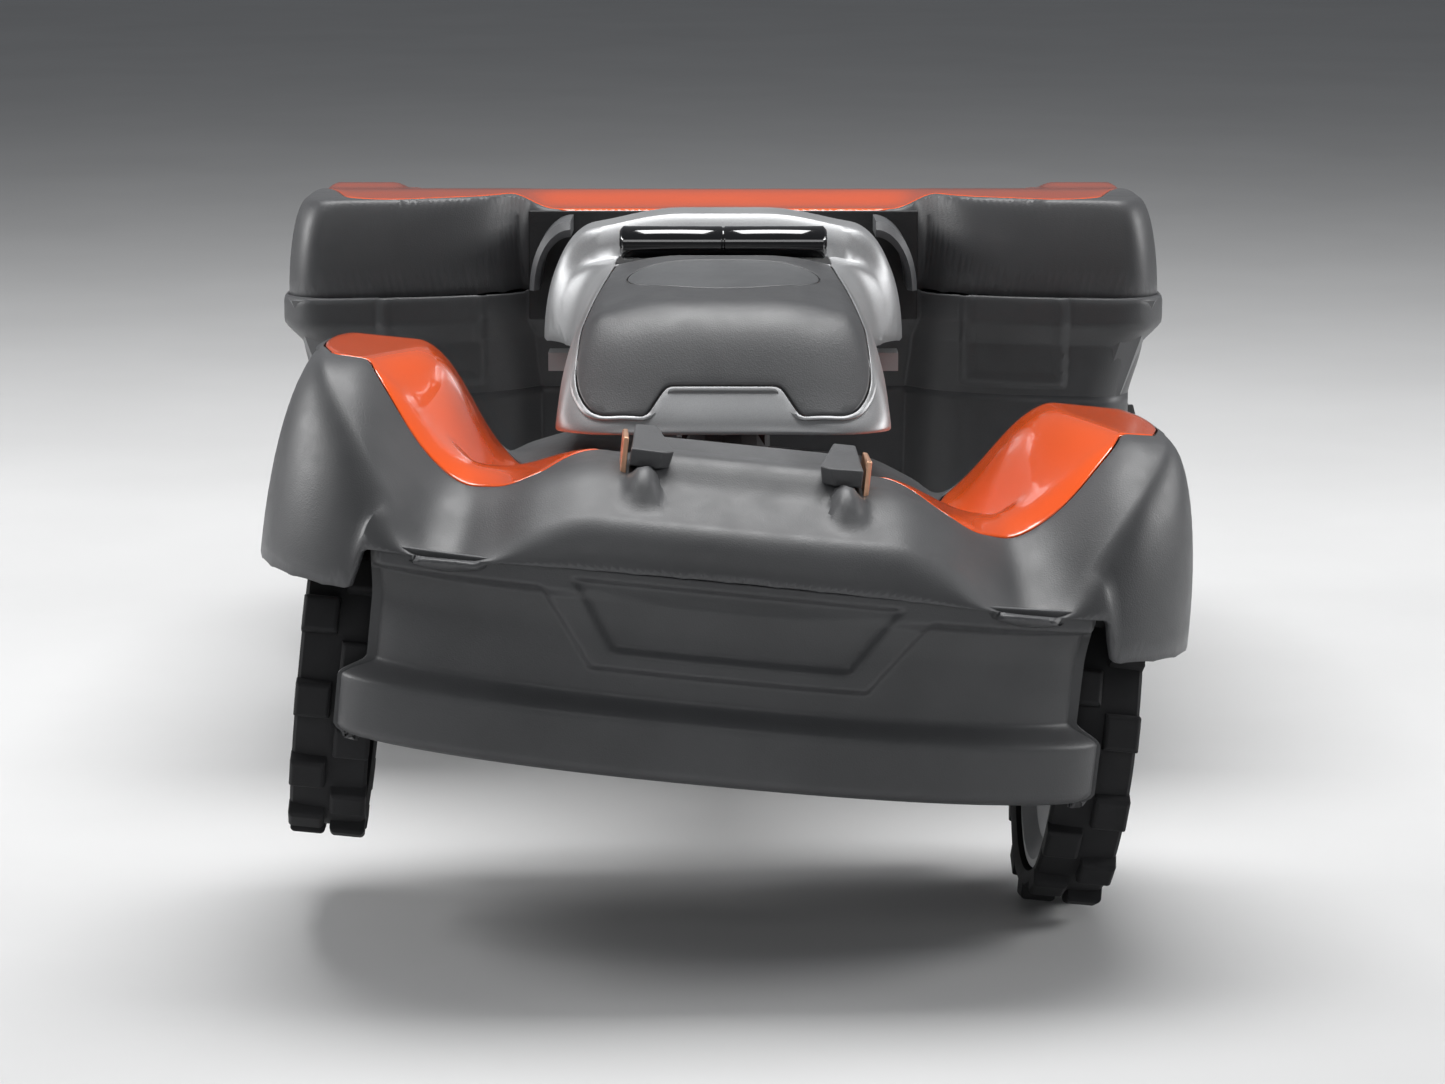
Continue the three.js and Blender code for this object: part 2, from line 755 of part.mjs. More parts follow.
function skidPlate() {
  const profile = [
    [5.5, 40],
    [14, 40],
    [58, 44],
    [62, 47],
    [58, 47],
    [14, 43],
    [5.5, 43],
    [5.5, 40],
  ].map(([r, z]) => new THREE.Vector2(r, z));
  const geometry = new THREE.LatheGeometry(profile, 20);
  geometry.rotateX(Math.PI / 2);
  geometry.translate(0, DECK_Y, 0);
  return toSolid(geometry);
}

// ---------------------------------------------------------------- assembly
function piece(name, solid, look) {
  const mesh = new THREE.Mesh(toGeometry(solid), new THREE.MeshStandardMaterial(look));
  mesh.name = name;
  return mesh;
}

function wheel(name, side, x, y) {
  const group = new THREE.Group();
  const outward = side < 0 ? mirrored : (solid) => solid;
  group.add(piece(`${name}_tyre`, outward(tyre()), RUBBER));
  group.add(piece(`${name}_hub`, outward(hub()), HUB_GREY));
  group.position.set(side * x, y, WHEEL_R);
  return group;
}

function motorAt(name, side, innerX, length, y) {
  const outward = side < 0 ? mirrored : (solid) => solid;
  const mesh = piece(name, outward(gearMotor(length)), MOTOR_GREY);
  mesh.position.set(side * innerX, y, WHEEL_R);
  return mesh;
}

// Turns a group about a line through a point, in the group's parent.
function turned(name, axis, degrees, point) {
  const group = new THREE.Group();
  group.name = name;
  const turn = new THREE.Quaternion().setFromAxisAngle(axis, degrees * DEG);
  group.quaternion.copy(turn);
  group.position.copy(point).sub(point.clone().applyQuaternion(turn));
  return group;
}

const machine = new THREE.Group();
machine.name = 'mower';

const mainBody = turned('main_frame', new THREE.Vector3(1, 0, 0), -REST_PITCH,
  new THREE.Vector3(0, REAR_AXLE_Y, WHEEL_R));
mainBody.add(
  piece('rear_upper_shell', rearUpperShell(), DARK_GREY),
  piece('rear_deck_insert', rearDeckInsert(), ORANGE),
  piece('rear_tub', rearTub(), DARK_GREY),
  piece('battery_pack', batteryPack(), BATTERY_BLACK),
  piece('control_board', controlBoard(), BOARD_GREEN),
  piece('neck_frame', neckFrame(), SILVER),
  piece('neck_cover', neckCover(), DARK_GREY),
  piece('neck_badge', neckBadge(), HUB_GREY),
  piece('neck_tab_left', neckTab(-1), HUB_GREY),
  piece('neck_tab_right', neckTab(1), HUB_GREY),
  piece('stop_bar', stopBar(), GLOSS_BLACK),
  piece('swivel_bearing', swivelBearing(), CHASSIS_BLACK),
  piece('kingpin_bearing', kingpinBearing(), STEEL),
  piece('steering_motor', steeringMotor(), MOTOR_GREY),
  piece('height_guide', heightGuide(), STEEL),
  piece('height_carriage', heightCarriage(), CHASSIS_BLACK),
  piece('blade_motor', bladeMotor(), MOTOR_GREY),
  piece('blade_disc', bladeDisc(), CHASSIS_BLACK),
  piece('skid_plate', skidPlate(), CHASSIS_BLACK),
);
for (let i = 0; i < BLADE_COUNT; i += 1) {
  mainBody.add(piece(`blade_${i + 1}`, blade(i), STEEL));
}

const slope = ROLL_AXIS_SLOPE * DEG;
const rollAxis = new THREE.Vector3(0, Math.cos(slope), Math.sin(slope));
const frontBody = turned('front_frame', rollAxis, REST_ROLL, new THREE.Vector3(0, 0, ROLL_AXIS_Z));
frontBody.add(
  piece('front_hood', frontHood(), DARK_GREY),
  piece('hood_insert', hoodInsert(), ORANGE),
  piece('front_bumper', frontBumper(), DARK_GREY),
  piece('contact_block', contactBlock(), DARK_GREY),
  piece('contact_strip_left', contactStrip(-1), COPPER),
  piece('contact_strip_right', contactStrip(1), COPPER),
  piece('front_chassis', frontChassis(), CHASSIS_BLACK),
  piece('roll_pin', rollPin(), STEEL),
);

const bogie = turned('bogie_frame', new THREE.Vector3(0, 0, 1), REST_STEER,
  new THREE.Vector3(0, REAR_AXLE_Y, 0));
bogie.add(piece('rear_axle_beam', rearAxleBeam(), CHASSIS_BLACK));

for (const [word, side] of [['left', -1], ['right', 1]]) {
  frontBody.add(motorAt(`front_gearmotor_${word}`, side, 68, 92, 0));
  frontBody.add(wheel(`front_${word}`, side, FRONT_TRACK_X, 0));
  bogie.add(motorAt(`rear_gearmotor_${word}`, side, 150 + GAP, 66, REAR_AXLE_Y));
  bogie.add(wheel(`rear_${word}`, side, REAR_TRACK_X, REAR_AXLE_Y));
}

mainBody.add(frontBody, bogie);
machine.add(mainBody);

// The origin is the middle of the bounding box's floor.
machine.updateMatrixWorld(true);
const bounds = new THREE.Box3().setFromObject(machine, true);
const middle = bounds.getCenter(new THREE.Vector3());
machine.position.set(-middle.x, -middle.y, -bounds.min.z);

export default machine;
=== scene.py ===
import json
import math

import bpy
import bmesh
import numpy as np
from mathutils import Matrix, Vector
from mathutils.geometry import delaunay_2d_cdt


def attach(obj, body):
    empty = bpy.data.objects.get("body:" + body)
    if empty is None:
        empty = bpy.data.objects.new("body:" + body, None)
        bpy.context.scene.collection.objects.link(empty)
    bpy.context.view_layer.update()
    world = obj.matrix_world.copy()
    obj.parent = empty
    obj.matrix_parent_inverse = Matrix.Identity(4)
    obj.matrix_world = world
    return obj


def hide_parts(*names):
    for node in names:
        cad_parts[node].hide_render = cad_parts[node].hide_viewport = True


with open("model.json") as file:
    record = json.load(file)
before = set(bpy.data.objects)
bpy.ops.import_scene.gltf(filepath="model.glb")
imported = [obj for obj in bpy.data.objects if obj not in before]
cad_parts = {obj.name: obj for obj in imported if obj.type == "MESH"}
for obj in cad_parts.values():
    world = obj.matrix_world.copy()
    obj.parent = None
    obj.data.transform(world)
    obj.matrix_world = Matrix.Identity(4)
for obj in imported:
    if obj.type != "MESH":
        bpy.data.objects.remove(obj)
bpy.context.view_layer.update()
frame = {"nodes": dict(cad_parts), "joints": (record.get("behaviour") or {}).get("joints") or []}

# Shapes are drawn in millimetres on a level, straight machine whose front axle stands over y = 0 on
# the ground z = 0, with +x to the right of someone facing the front and +y to the rear. Each body's
# matrix then carries them to the frame.
MM = 0.001
PI = math.pi
TINY = 1e-6

REAR_AXLE_Y = 620
WHEEL_R = 97
ROLL_AXIS_Z = 150
ROLL_AXIS_SLOPE = math.radians(20)
PANEL_GAP = 0.7


# ------------------------------------------------------------------ body frames
def joint(name):
    return next(j for j in frame["joints"] if j["name"] == name)


def about(point, turn):
    """A turn about an axis through a point."""
    return Matrix.Translation(point) @ turn @ Matrix.Translation(-Vector(point))


def body_frames():
    """Where the level machine's main body, front body and rear axle stand in the frame."""
    steer = joint("rear_steer")
    axle = Vector((0, REAR_AXLE_Y, WHEEL_R)) * MM
    pitch = math.atan2(steer["axis"][1], steer["axis"][2])
    main = (
        Matrix.Translation(steer["pos_m"])
        @ Matrix.Rotation(-pitch, 4, "X")
        @ Matrix.Translation(-axle)
    )
    across = main.to_3x3() @ Vector((1, 0, 0))
    roll = across.angle(Vector(joint("front_left_spin")["axis"]))
    turn = across.angle(Vector(joint("rear_left_spin")["axis"]))
    roll_axis = Vector((0, math.cos(ROLL_AXIS_SLOPE), math.sin(ROLL_AXIS_SLOPE)))
    front = main @ about((0, 0, ROLL_AXIS_Z * MM), Matrix.Rotation(roll, 4, roll_axis))
    bogie = main @ about((0, REAR_AXLE_Y * MM, 0), Matrix.Rotation(turn, 4, "Z"))
    return main, front, bogie


MAIN, FRONT, BOGIE = body_frames()
FRAMES = {"main_body": MAIN, "stop_bar": MAIN, "front_body": FRONT}


# ------------------------------------------------------------------ small maths
def smooth(value, start, end):
    """Climbs from 0 at start to 1 at end, level at both."""
    t = np.clip((np.asarray(value, float) - start) / (end - start), 0, 1)
    return t * t * (3 - 2 * t)


def mix(a, b, t):
    return a + (b - a) * t


def mirror_half(half):
    """A closed outline from the points of its x >= 0 half, first and last on the axis."""
    return half + [(-x, y) for x, y in reversed(half[1:-1])]


def rounded_pair(half, radii, steps=5):
    """The same, with its corners rounded by one radius for each point of the half."""
    return rounded(mirror_half(half), radii + radii[1:-1][::-1], steps)


def rounded(points, radius, steps=5):
    """A closed outline whose corners are rounded; radius may be one number or one per point."""
    count = len(points)
    radii = radius if isinstance(radius, list) else [radius] * count
    result = []
    for i in range(count):
        before = Vector(points[i - 1])
        here = Vector(points[i])
        after = Vector(points[(i + 1) % count])
        back = before - here
        ahead = after - here
        cut = min(radii[i], back.length * 0.48, ahead.length * 0.48)
        start = here + back.normalized() * cut
        end = here + ahead.normalized() * cut
        for k in range(steps + 1):
            t = k / steps
            result.append(tuple((1 - t) ** 2 * start + 2 * t * (1 - t) * here + t * t * end))
    return result


def resample(points, spacing):
    """The closed outline again, with its points evenly spaced along it."""
    loop = np.array(points + [points[0]], float)
    lengths = np.hypot(*np.diff(loop, axis=0).T)
    keep = np.concatenate(([True], lengths > TINY))
    loop = loop[keep]
    lengths = lengths[lengths > TINY]
    travel = np.concatenate(([0], np.cumsum(lengths)))
    count = max(8, int(round(travel[-1] / spacing)))
    at = np.linspace(0, travel[-1], count, endpoint=False)
    return np.column_stack([np.interp(at, travel, loop[:, k]) for k in (0, 1)])


def inside(points, loop):
    """Even-odd test of many points against one closed outline."""
    x, y = points[:, 0], points[:, 1]
    result = np.zeros(len(points), bool)
    for (x0, y0), (x1, y1) in zip(loop, np.roll(loop, -1, axis=0)):
        crosses = (y0 > y) != (y1 > y)
        if crosses.any():
            at = x0 + (y - y0) * (x1 - x0) / (y1 - y0 if y1 != y0 else 1e-9)
            result ^= crosses & (x < at)
    return result


def distance_to(points, loop):
    """Distance from each point to the nearest stretch of a closed outline."""
    best = np.full(len(points), 1e9)
    for a, b in zip(loop, np.roll(loop, -1, axis=0)):
        along = b - a
        t = np.clip((points - a) @ along / max(along @ along, 1e-12), 0, 1)
        gap = points - (a + t[:, None] * along)
        best = np.minimum(best, np.hypot(gap[:, 0], gap[:, 1]))
    return best


def offset(loop, amount):
    """The outline moved outwards by amount, for small amounts."""
    before = np.roll(loop, 1, axis=0)
    after = np.roll(loop, -1, axis=0)
    along = after - before
    along /= np.maximum(np.hypot(along[:, 0], along[:, 1]), 1e-9)[:, None]
    area = np.sum(loop[:, 0] * after[:, 1] - after[:, 0] * loop[:, 1])
    normal = np.column_stack([along[:, 1], -along[:, 0]]) * (1 if area > 0 else -1)
    return loop + normal * amount


# ------------------------------------------------------------------ mesh helpers
def add_piece(name, shape, body, material, replaces=(), smooth_angle=35, matrix=None):
    """A piece from a shape's points and faces, which rides a body and takes its frame."""
    verts, faces = shape
    if matrix is None:
        matrix = FRAMES[body]
    mesh = bpy.data.meshes.new(name)
    world = [matrix @ (Vector(v) * MM) for v in verts]
    mesh.from_pydata(world, [], [list(f) for f in faces])
    mesh.validate()
    mesh.update()
    piece = bpy.data.objects.new(name, mesh)
    bpy.context.scene.collection.objects.link(piece)
    mesh.materials.append(material)
    mesh.shade_smooth()
    mesh.set_sharp_from_angle(angle=math.radians(smooth_angle))
    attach(piece, body)
    if replaces:
        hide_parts(*replaces)
    return piece


def outward(verts, faces):
    """Consistent outward faces for a closed or open surface."""
    bm = bmesh.new()
    made = [bm.verts.new(v) for v in verts]
    bm.verts.ensure_lookup_table()
    for face in faces:
        if len(set(face)) > 2:
            bm.faces.new([made[i] for i in face])
    bmesh.ops.recalc_face_normals(bm, faces=bm.faces)
    verts = [tuple(v.co) for v in bm.verts]
    faces = [[v.index for v in f.verts] for f in bm.faces]
    bm.free()
    return verts, faces


def grid_faces(rows, columns, wrap=False):
    """Four-sided faces over rows of points; wrap joins the last column to the first."""
    faces = []
    last = columns if wrap else columns - 1
    for row in range(rows - 1):
        here = row * columns
        above = here + columns
        for c in range(last):
            d = (c + 1) % columns
            faces.append((here + c, here + d, above + d, above + c))
    return faces


def bevel(piece, width, segments=3):
    modifier = piece.modifiers.new("edge", "BEVEL")
    modifier.width = width * MM
    modifier.segments = segments
    modifier.limit_method = "ANGLE"
    modifier.angle_limit = math.radians(30)
    modifier.harden_normals = True


def thicken(piece, wall):
    """Gives an open skin a wall on its inner side."""
    modifier = piece.modifiers.new("wall", "SOLIDIFY")
    modifier.thickness = wall * MM
    modifier.offset = -1


def add_skin(name, shape, wall, body, material, replaces=(), smooth_angle=35):
    """An open skin with a wall."""
    thicken(add_piece(name, shape, body, material, replaces, smooth_angle), wall)


def block_between(lower, upper, z0, z1):
    """A closed block from two outlines of the same length; z0 and z1 may be functions of x and y."""
    count = len(lower)
    low = z0 if callable(z0) else (lambda x, y: z0)
    high = z1 if callable(z1) else (lambda x, y: z1)
    verts = [(x, y, low(x, y)) for x, y in lower] + [(x, y, high(x, y)) for x, y in upper]
    faces = [tuple(range(count))[::-1], tuple(range(count, 2 * count))]
    for i in range(count):
        j = (i + 1) % count
        faces.append((i, j, count + j, count + i))
    return outward(verts, faces)


def lathe_x(profile, steps, wrap_profile=False):
    """Turns (r, x) points about the X axis."""
    verts = []
    for r, x in profile:
        for k in range(steps):
            angle = 2 * PI * k / steps
            verts.append((x, r * math.cos(angle), r * math.sin(angle)))
    faces = grid_faces(len(profile), steps, wrap=True)
    if wrap_profile:
        last = (len(profile) - 1) * steps
        for k in range(steps):
            j = (k + 1) % steps
            faces.append((last + k, last + j, j, k))
    return outward(verts, faces)


# ------------------------------------------------------------------ crowned surfaces
OUTLINE_STEP = 2.0
CUT_STEP = 2.2
SHOULDER_ROWS = 16
ROLL_SHARES = (0.15, 0.45, 1.0)
CLEAR_OF_EDGE = 1.7


class Crown:
    """A surface over a plan outline: it climbs from the rim over a rounded shoulder to a top.

    Panels are triangulated on a sheet where the shoulder is unrolled flat, so that its steep wall
    gets as many rows of faces as the crown.
    """

    def __init__(self, outline, centre_y, rim, top, shoulder):
        self.loop = resample(outline, OUTLINE_STEP)
        self.centre = np.array([0, centre_y])
        self.rim = rim
        self.top = top
        self.shoulder = shoulder
        angles = np.arctan2(self.loop[:, 1] - centre_y, self.loop[:, 0])
        reach = np.hypot(self.loop[:, 0], self.loop[:, 1] - centre_y)
        order = np.argsort(angles)
        self.angles = angles[order]
        self.reach = reach[order]

    def polar(self, points):
        """How far out each point lies, as a share of the outline's reach that way."""
        away = points - self.centre
        reach = np.interp(np.arctan2(away[:, 1], away[:, 0]), self.angles, self.reach, period=2 * PI)
        return np.hypot(away[:, 0], away[:, 1]) / reach

    def unroll(self, plan):
        """Plan points to sheet points."""
        t = np.minimum(self.polar(plan), 1)
        inward = np.clip((t - self.shoulder) / (1 - self.shoulder), 0, 1)
        wide = self.shoulder + (1 - self.shoulder) * np.arcsin(inward)
        scale = np.where(t > self.shoulder, wide / np.maximum(t, TINY), 1)
        return self.centre + (plan - self.centre) * scale[:, None]

    def lift(self, sheet):
        """Sheet points to points on the surface."""
        wide = self.polar(sheet)
        turn = np.clip((wide - self.shoulder) / (1 - self.shoulder), 0, PI / 2)
        t = np.where(wide > self.shoulder, self.shoulder + (1 - self.shoulder) * np.sin(turn), wide)
        scale = t / np.maximum(wide, TINY)
        plan = self.centre + (sheet - self.centre) * scale[:, None]
        edge = self.centre + (sheet - self.centre) / np.maximum(wide, TINY)[:, None]
        z = mix(self.rim(edge[:, 0], edge[:, 1]), self.top(plan[:, 0], plan[:, 1]), np.cos(turn))
        return np.column_stack([plan, z])

    def rings(self):
        """Sheet points in even rows over the shoulder."""
        for k in range(SHOULDER_ROWS + 1):
            wide = self.shoulder + (1 - self.shoulder) * (PI / 2) * k / SHOULDER_ROWS
            yield self.centre + (self.loop[::2] - self.centre) * wide

    def edge(self):
        """The whole outline, as the region of a panel."""
        return [tuple(p) for p in self.loop]


def closed_links(loops):
    """Index pairs that join each loop's points in turn and close it."""
    links = []
    start = 0
    for loop in loops:
        count = len(loop)
        links += [(start + i, start + (i + 1) % count) for i in range(count)]
        start += count
    return links


def loose_points(crown, region, spacing):
    """A staggered grid over the crown's top, and rows over its shoulder."""
    low = region.min(axis=0)
    high = region.max(axis=0)
    xs = np.arange(low[0], high[0], spacing)
    ys = np.arange(low[1], high[1], spacing)
    grid = np.column_stack([g.ravel() for g in np.meshgrid(xs, ys)])
    odd_row = np.round((grid[:, 1] - low[1]) / spacing) % 2 > 0
    grid[:, 0] += np.where(odd_row, spacing / 2, 0)
    grid = grid[crown.polar(grid) < crown.shoulder - 0.01]
    return np.vstack([grid] + list(crown.rings()))


def panel(crown, region, holes=(), spacing=4.0, edge=1.2, round_outer=True):
    """Triangulates a region of a crowned surface, with its cut edges rolled over by edge."""
    region = crown.unroll(resample(region, CUT_STEP))
    holes = [crown.unroll(resample(hole, CUT_STEP)) for hole in holes]
    loops = [region] + holes
    rolled = loops if round_outer else holes
    loose = loose_points(crown, region, spacing)
    clear = edge * CLEAR_OF_EDGE
    keep = inside(loose, region)
    for loop in loops:
        keep &= distance_to(loose, loop) > (clear if round_outer else 1.0)
    for hole in holes:
        keep &= ~inside(loose, hole) & (distance_to(loose, hole) > clear)
    signs = ([-1] if round_outer else []) + [1] * len(holes)
    rims = [offset(loop, sign * edge * share) for loop, sign in zip(rolled, signs) for share in ROLL_SHARES]
    every = np.vstack(loops + rims + [loose[keep]])
    flat = [Vector(p) for p in every]
    verts, _, faces, _, _, _ = delaunay_2d_cdt(flat, closed_links(loops), [], 0, 1e-4)
    sheet = np.array([tuple(v) for v in verts])
    faces = np.array([f for f in faces if len(f) == 3])
    middles = sheet[faces].mean(axis=1)
    keep = inside(middles, region)
    for hole in holes:
        keep &= ~inside(middles, hole)
    faces = faces[keep]
    surface = crown.lift(sheet)
    if rolled:
        gap = np.min([distance_to(sheet, loop) for loop in rolled], axis=0)
        inward = np.clip(1 - gap / edge, 0, 1)
        surface[:, 2] -= edge * (1 - np.sqrt(1 - inward**2))
    used = np.unique(faces)
    index = np.full(len(sheet), -1)
    index[used] = np.arange(len(used))
    return [tuple(v) for v in surface[used]], [tuple(index[f]) for f in faces]


# ------------------------------------------------------------------ materials
class Nodes:
    """A short way to write a procedural material."""

    def __init__(self, name):
        self.material = bpy.data.materials.new(name)
        self.material.use_nodes = True
        self.tree = self.material.node_tree
        self.shader = self.tree.nodes["Principled BSDF"]
        self.coords = self.tree.nodes.new("ShaderNodeTexCoord").outputs["Object"]

    def noise(self, scale, detail=4, rough=0.55):
        node = self.tree.nodes.new("ShaderNodeTexNoise")
        node.inputs["Scale"].default_value = scale
        node.inputs["Detail"].default_value = detail
        node.inputs["Roughness"].default_value = rough
        self.tree.links.new(self.coords, node.inputs["Vector"])
        return node.outputs["Fac"]

    def cells(self, scale):
        node = self.tree.nodes.new("ShaderNodeTexVoronoi")
        node.feature = "SMOOTH_F1"
        node.inputs["Scale"].default_value = scale
        self.tree.links.new(self.coords, node.inputs["Vector"])
        return node.outputs["Distance"]

    def ramp(self, source, stops):
        node = self.tree.nodes.new("ShaderNodeValToRGB")
        elements = node.color_ramp.elements
        while len(elements) < len(stops):
            elements.new(0.5)
        for element, (at, colour) in zip(elements, stops):
            element.position = at
            element.color = (*colour, 1)
        self.tree.links.new(source, node.inputs["Fac"])
        return node.outputs["Color"]

    def scaled(self, source, low, high, from_low=0.3, from_high=0.7):
        node = self.tree.nodes.new("ShaderNodeMapRange")
        node.inputs["From Min"].default_value = from_low
        node.inputs["From Max"].default_value = from_high
        node.inputs["To Min"].default_value = low
        node.inputs["To Max"].default_value = high
        self.tree.links.new(source, node.inputs["Value"])
        return node.outputs["Result"]

    def mixed(self, factor, a, b):
        node = self.tree.nodes.new("ShaderNodeMix")
        node.data_type = "RGBA"
        self.tree.links.new(factor, node.inputs["Factor"])
        for value, socket in ((a, node.inputs["A"]), (b, node.inputs["B"])):
            if isinstance(value, tuple):
                socket.default_value = (*value, 1)
            else:
                self.tree.links.new(value, socket)
        return node.outputs["Result"]

    # A painted highlight: paler colour on convex edges, found from pointiness.
    def painted_edge_highlight(self, low=0.53, high=0.6):
        geometry = self.tree.nodes.new("ShaderNodeNewGeometry")
        return self.scaled(geometry.outputs["Pointiness"], 0, 1, low, high)

    def bump(self, source, strength, distance):
        node = self.tree.nodes.new("ShaderNodeBump")
        node.inputs["Strength"].default_value = strength
        node.inputs["Distance"].default_value = distance
        self.tree.links.new(source, node.inputs["Height"])
        return node.outputs["Normal"]

    def finish(self, color=None, roughness=None, normal=None, **values):
        links = ((color, "Base Color"), (roughness, "Roughness"), (normal, "Normal"))
        for source, socket in links:
            if source is not None:
                self.tree.links.new(source, self.shader.inputs[socket])
        for socket, value in values.items():
            self.shader.inputs[socket.replace("_", " ")].default_value = value
        return self.material


def shade(colour, factor):
    return tuple(min(1, c * factor) for c in colour)


def moulded_plastic(name, colour, roughness, grain_scale=1500, grain=0.25, edge_highlight=1.5):
    """A finely grained plastic, with its edges painted paler as a highlight."""
    n = Nodes(name)
    clouds = n.noise(14, 5)
    tint = n.ramp(clouds, [(0.35, shade(colour, 0.9)), (0.65, shade(colour, 1.1))])
    # The paler edges mixed in here are a painted highlight.
    color = n.mixed(n.painted_edge_highlight(), tint, shade(colour, edge_highlight))
    normal = n.bump(n.cells(grain_scale), grain, 0.0003)
    rough = n.scaled(n.noise(60, 3), roughness - 0.05, roughness + 0.05)
    return n.finish(color, rough, normal, Specular_IOR_Level=0.5)


def gloss_plastic(name, colour, roughness):
    """A clear-coated plastic with a slight orange peel."""
    n = Nodes(name)
    tint = n.ramp(n.noise(9, 3), [(0.3, shade(colour, 0.95)), (0.7, shade(colour, 1.04))])
    peel = n.bump(n.noise(260, 2), 0.04, 0.0004)
    rough = n.scaled(n.noise(45, 6, 0.7), roughness - 0.02, roughness + 0.05)
    return n.finish(tint, rough, peel, Coat_Weight=1.0, Coat_Roughness=0.05)


def satin_paint(name, colour, roughness, metallic=0.55):
    """A paint with fine metal flakes."""
    n = Nodes(name)
    flakes = n.noise(2600, 2)
    tint = n.ramp(flakes, [(0.35, shade(colour, 0.9)), (0.65, shade(colour, 1.12))])
    # Paler edges here are a painted highlight.
    color = n.mixed(n.painted_edge_highlight(0.54, 0.62), tint, shade(colour, 1.25))
    rough = n.scaled(n.noise(30, 5), roughness - 0.04, roughness + 0.05)
    normal = n.bump(flakes, 0.03, 0.0002)
    return n.finish(color, rough, normal, Metallic=metallic)


def rubber(name, colour):
    """A rough rubber with paler, dusty patches."""
    n = Nodes(name)
    dust = n.noise(35, 6, 0.65)
    color = n.ramp(dust, [(0.4, colour), (0.75, shade(colour, 1.9))])
    fine = n.bump(n.noise(900, 4), 0.2, 0.0004)
    rough = n.scaled(dust, 0.62, 0.85)
    return n.finish(color, rough, fine, Specular_IOR_Level=0.35)


def metal(name, colour, roughness, brush_scale=400):
    """A metal brushed in lines that run along Z."""
    n = Nodes(name)
    stretch = n.tree.nodes.new("ShaderNodeMapping")
    stretch.inputs["Scale"].default_value = (1, 1, 0.06)
    n.tree.links.new(n.coords, stretch.inputs["Vector"])
    n.coords = stretch.outputs["Vector"]
    lines = n.noise(brush_scale, 5, 0.7)
    tint = n.ramp(lines, [(0.3, shade(colour, 0.82)), (0.7, shade(colour, 1.1))])
    rough = n.scaled(lines, roughness - 0.08, roughness + 0.12)
    return n.finish(tint, rough, n.bump(lines, 0.06, 0.0002), Metallic=1.0)


DARK = moulded_plastic("dark_shell", (0.068, 0.069, 0.072), 0.46)
COVER = moulded_plastic("cover_shell", (0.062, 0.063, 0.066), 0.44)
ORANGE = gloss_plastic("orange_gloss", (1.0, 0.115, 0.008), 0.2)
SILVER = satin_paint("silver_frame", (0.33, 0.334, 0.34), 0.42)
BADGE = moulded_plastic("badge_grey", (0.1, 0.102, 0.106), 0.36, 2600, 0.1)
GLOSS = gloss_plastic("gloss_black", (0.006, 0.006, 0.007), 0.1)
TYRE = rubber("tyre_rubber", (0.014, 0.014, 0.015))
HUB = satin_paint("hub_grey", (0.36, 0.365, 0.37), 0.42, 0.4)
# The last number makes its painted edge highlight twice as pale as its base colour.
CHASSIS = moulded_plastic("chassis_black", (0.02, 0.02, 0.021), 0.62, 1100, 0.3, 2.0)
COPPER = metal("contact_copper", (0.74, 0.44, 0.29), 0.36)
STEEL = metal("steel", (0.55, 0.56, 0.57), 0.3)
MOTOR = metal("motor_case", (0.13, 0.135, 0.14), 0.45, 900)
BOARD = moulded_plastic("circuit_board", (0.02, 0.12, 0.05), 0.45, 700, 0.2)
BATTERY = moulded_plastic("battery_case", (0.035, 0.035, 0.038), 0.55)


# ------------------------------------------------------------------ front hood
HOOD_HALF_WIDTH = 231
HOOD_FRONT_Y = -146
HOOD_BACK_Y = 132
HOOD_CENTRE_Y = (HOOD_FRONT_Y + HOOD_BACK_Y) / 2
HOOD_HALF_DEPTH = (HOOD_BACK_Y - HOOD_FRONT_Y) / 2
BUMPER_WAIST_HALF = 172
HOOD_SQUARENESS = 3.4
HOOD_SEAM_Z = 172
HOOD_SIDE_Z = 147
PLATEAU_Z = 214
CREST_Z = 247
VALLEY_Z = 201


def superellipse(half_width, half_depth, centre_y, power, steps=240):
    """An oval that is squarer than an ellipse when power is over 2."""
    points = []
    for k in range(steps):
        c = math.cos(2 * PI * k / steps)
        s = math.sin(2 * PI * k / steps)
        x = math.copysign(abs(c) ** (2 / power), c) * half_width
        y = math.copysign(abs(s) ** (2 / power), s) * half_depth
        points.append((x, centre_y + y))
    return points


def hood_rim(x, y):
    """The seam with the bumper runs level in front and turns down beside it."""
    seam = HOOD_SEAM_Z - 4 * (x / BUMPER_WAIST_HALF) ** 2
    beside = np.maximum(smooth(abs(x), 178, 184), smooth(y, -96, -84))
    return mix(seam, HOOD_SIDE_Z, beside)


def hood_top(x, y):
    """Plateau in the middle, a bowl each side, and a fender crest over each wheel."""
    side = abs(x)
    saddle = 8 * (1 - smooth(side, 44, 54)) * smooth(y, -108, -86) * (1 - smooth(y, -52, -42))
    bowl = mix(PLATEAU_Z + saddle, VALLEY_Z, smooth(side, 70, 118))
    back = smooth(y, -70, 45)
    crest = (CREST_Z - VALLEY_Z) * smooth(side, mix(128, 108, back), mix(196, 166, back))
    front_drop = mix(22 * smooth(-y, 84, 150), 52 * smooth(-y, 46, 150), smooth(side, 96, 165))
    back_drop = mix(12 * smooth(y, -40, -28), 42 * smooth(y, 62, 130), smooth(side, 100, 150))
    fins = 9 * smooth(side, 40, 46) * (1 - smooth(side, 50, 60)) * smooth(-y, 96, 106)
    return bowl + crest - front_drop - back_drop + fins * (1 - smooth(-y, 112, 128))


